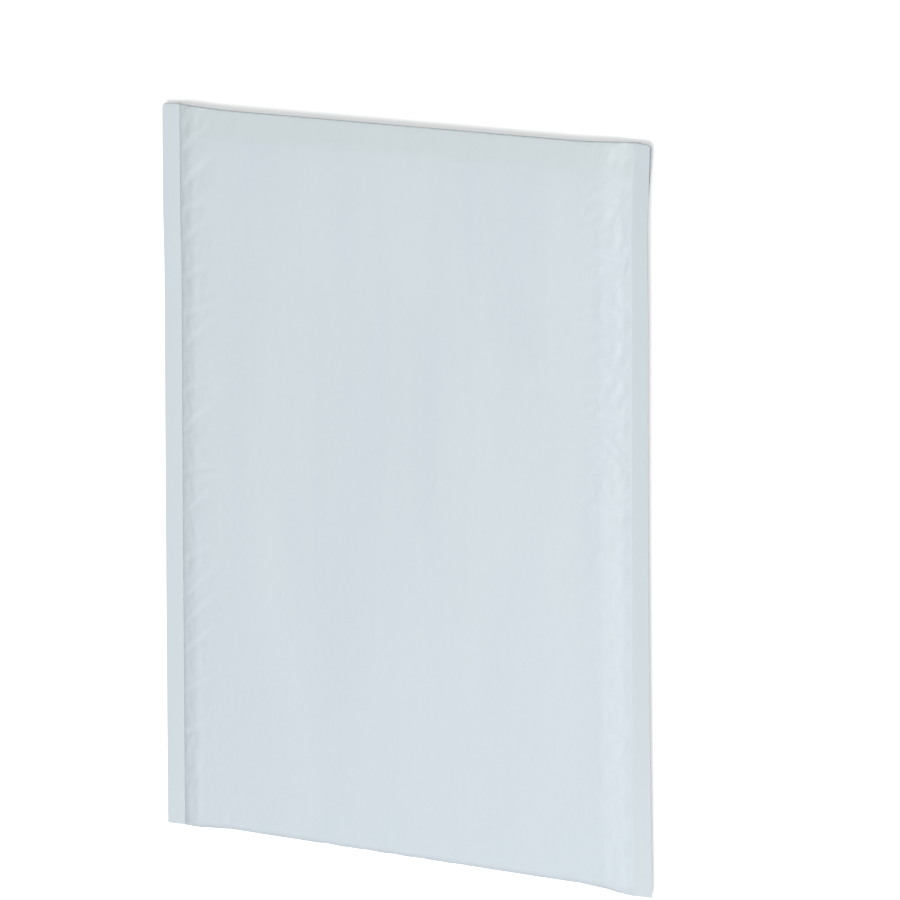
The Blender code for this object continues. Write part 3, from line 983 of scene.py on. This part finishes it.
def adhesive_material():
    """Hot-melt glue: clear amber, with the fine streaks of the roller that laid it."""
    nodes = Nodes("hot_melt")
    streaks = nodes.noise(1.0, 3.0, 0.6, stretch=(900.0, 40.0, 40.0))
    nodes.link(nodes.mix(streaks, ADHESIVE_COLOUR, ADHESIVE_PALE), nodes.shader.inputs["Base Color"])
    nodes.link(nodes.spread(streaks, 0.3, 0.7, 0.10, 0.22), nodes.shader.inputs["Roughness"])
    nodes.link(nodes.bump(streaks, 0.3, 0.0002), nodes.shader.inputs["Normal"])
    return nodes.material


LINER_COLOUR = (0.615, 0.585, 0.565)
LINER_PALE = (0.665, 0.640, 0.620)
PRINT_COLOUR = (0.50, 0.13, 0.15)
PRINT_ROW = 0.0056
PRINT_STEP = 0.034
PRINT_STAGGER = 0.46
DASH_LENGTH = 0.62  # as a share of the step
DASH_HALF_WIDTH = 0.11  # as a share of the row
PRINT_MARGIN = 0.006


def liner_material():
    """Glazed release paper with four staggered rows of plain red dashes."""
    nodes = Nodes("release_paper")
    place = nodes.add("ShaderNodeSeparateXYZ")
    nodes.link(nodes.place(), place.inputs[0])
    first_row = (LINER_WIDTH / 2 - LINER_Y) / PRINT_ROW
    row = nodes.math("MULTIPLY_ADD", place.outputs["Y"], 1 / PRINT_ROW, first_row)
    stagger = nodes.math("MULTIPLY", nodes.math("FLOOR", row), PRINT_STAGGER)
    along = nodes.math("FRACT", nodes.math("MULTIPLY_ADD", place.outputs["X"], 1 / PRINT_STEP, stagger))
    from_middle = nodes.math("ABSOLUTE", nodes.math("SUBTRACT", nodes.math("FRACT", row), 0.5))
    in_dash = nodes.math("LESS_THAN", along, DASH_LENGTH)
    in_line = nodes.math("LESS_THAN", from_middle, DASH_HALF_WIDTH)
    from_centre = nodes.math("ABSOLUTE", place.outputs["X"])
    clear_of_ends = nodes.math("LESS_THAN", from_centre, BODY_WIDTH / 2 - PRINT_MARGIN)
    inked = nodes.math("MULTIPLY", nodes.math("MULTIPLY", in_dash, in_line), clear_of_ends)
    fibres = nodes.noise(1.0, 4.0, 0.65, stretch=(350.0, 1500.0, 350.0))
    paper = nodes.mix(fibres, LINER_COLOUR, LINER_PALE)
    ink = nodes.math("MULTIPLY", inked, nodes.spread(nodes.noise(2600.0), 0.3, 0.6, 0.45, 0.8))
    nodes.link(nodes.mix(ink, paper, PRINT_COLOUR), nodes.shader.inputs["Base Color"])
    nodes.link(nodes.spread(fibres, 0.3, 0.7, 0.34, 0.46), nodes.shader.inputs["Roughness"])
    nodes.link(nodes.bump(fibres, 0.15, 0.0001), nodes.shader.inputs["Normal"])
    return nodes.material


def make_camera():
    data = bpy.data.cameras.new("camera")
    data.lens = CAMERA_LENS
    data.sensor_width = CAMERA_SENSOR
    data.clip_end = CAMERA_REACH
    camera = bpy.data.objects.new("camera", data)
    bpy.context.scene.collection.objects.link(camera)
    back = -CAMERA_FORWARD.normalized()
    right = CAMERA_UP.cross(back).normalized()
    up = back.cross(right)
    turn = Matrix((right, up, back)).transposed()
    camera.matrix_world = Matrix.Translation(CAMERA_PLACE) @ turn.to_4x4()
    bpy.context.scene.camera = camera


def make_area_light(name, place, size, power):
    """A square light that faces the envelope's middle."""
    data = bpy.data.lights.new(name, "AREA")
    data.shape = "SQUARE"
    data.size = size
    data.energy = power
    light = bpy.data.objects.new(name, data)
    bpy.context.scene.collection.objects.link(light)
    light.location = place
    light.rotation_euler = (-Vector(place)).to_track_quat("-Z", "Y").to_euler()


def seen_directly(nodes):
    """1 for a ray from the camera, a mirror or a clear surface, and 0 for the rays that light the object."""
    path = nodes.add("ShaderNodeLightPath")
    seen = nodes.math("MAXIMUM", path.outputs["Is Camera Ray"], path.outputs["Is Glossy Ray"])
    return nodes.math("MAXIMUM", seen, path.outputs["Is Transmission Ray"])


def make_world(strength):
    """An even pale light, which looks white where it is seen."""
    world = bpy.data.worlds.new("studio")
    world.use_nodes = True
    bpy.context.scene.world = world
    nodes = Tree(world.node_tree)
    background = world.node_tree.nodes["Background"]
    background.inputs["Color"].default_value = (1.0, 1.0, 1.0, 1.0)
    nodes.link(nodes.spread(seen_directly(nodes), 0.0, 1.0, strength, 1.0), background.inputs["Strength"])


FLOOR_SEEN = (1.0, 1.0, 1.0)
FLOOR_LIT = (0.35, 0.35, 0.35)
FLOOR_GLOW = 0.40
FLOOR_REACH = 6.0
FLOOR_DROP = 0.0002


def make_floor():
    """A pale floor that looks white and keeps the envelope's shadow."""
    mesh = bpy.data.meshes.new("floor")
    bm = bmesh.new()
    bmesh.ops.create_grid(bm, x_segments=1, y_segments=1, size=FLOOR_REACH)
    bm.to_mesh(mesh)
    bm.free()
    floor = bpy.data.objects.new("floor", mesh)
    floor.location.z = -FLOOR_DROP
    bpy.context.scene.collection.objects.link(floor)
    nodes = Nodes("floor_paper")
    seen = seen_directly(nodes)
    nodes.link(nodes.mix(seen, FLOOR_LIT, FLOOR_SEEN), nodes.shader.inputs["Base Color"])
    nodes.shader.inputs["Emission Color"].default_value = (1.0, 1.0, 1.0, 1.0)
    nodes.link(nodes.math("MULTIPLY", seen, FLOOR_GLOW), nodes.shader.inputs["Emission Strength"])
    nodes.shader.inputs["Roughness"].default_value = 0.9
    nodes.shader.inputs["Specular IOR Level"].default_value = 0.0
    mesh.materials.append(nodes.material)


# Each light's place, its size in metres and its power in watts.
KEY_LIGHT = ((1.35, -0.55, 3.5), 1.5, 84.0)
FILL_LIGHT = ((0.3, -1.0, 2.6), 1.6, 11.0)
WORLD_STRENGTH = 0.35


def make_studio():
    bpy.context.scene.view_settings.view_transform = "Standard"
    make_world(WORLD_STRENGTH)
    make_area_light("key", *KEY_LIGHT)
    make_area_light("fill", *FILL_LIGHT)
    make_floor()


def main():
    make_camera()
    make_studio()
    web = film_web()
    web = wrinkled(web)
    make_film(web)
    make_lining(web)
    make_closure()


main()
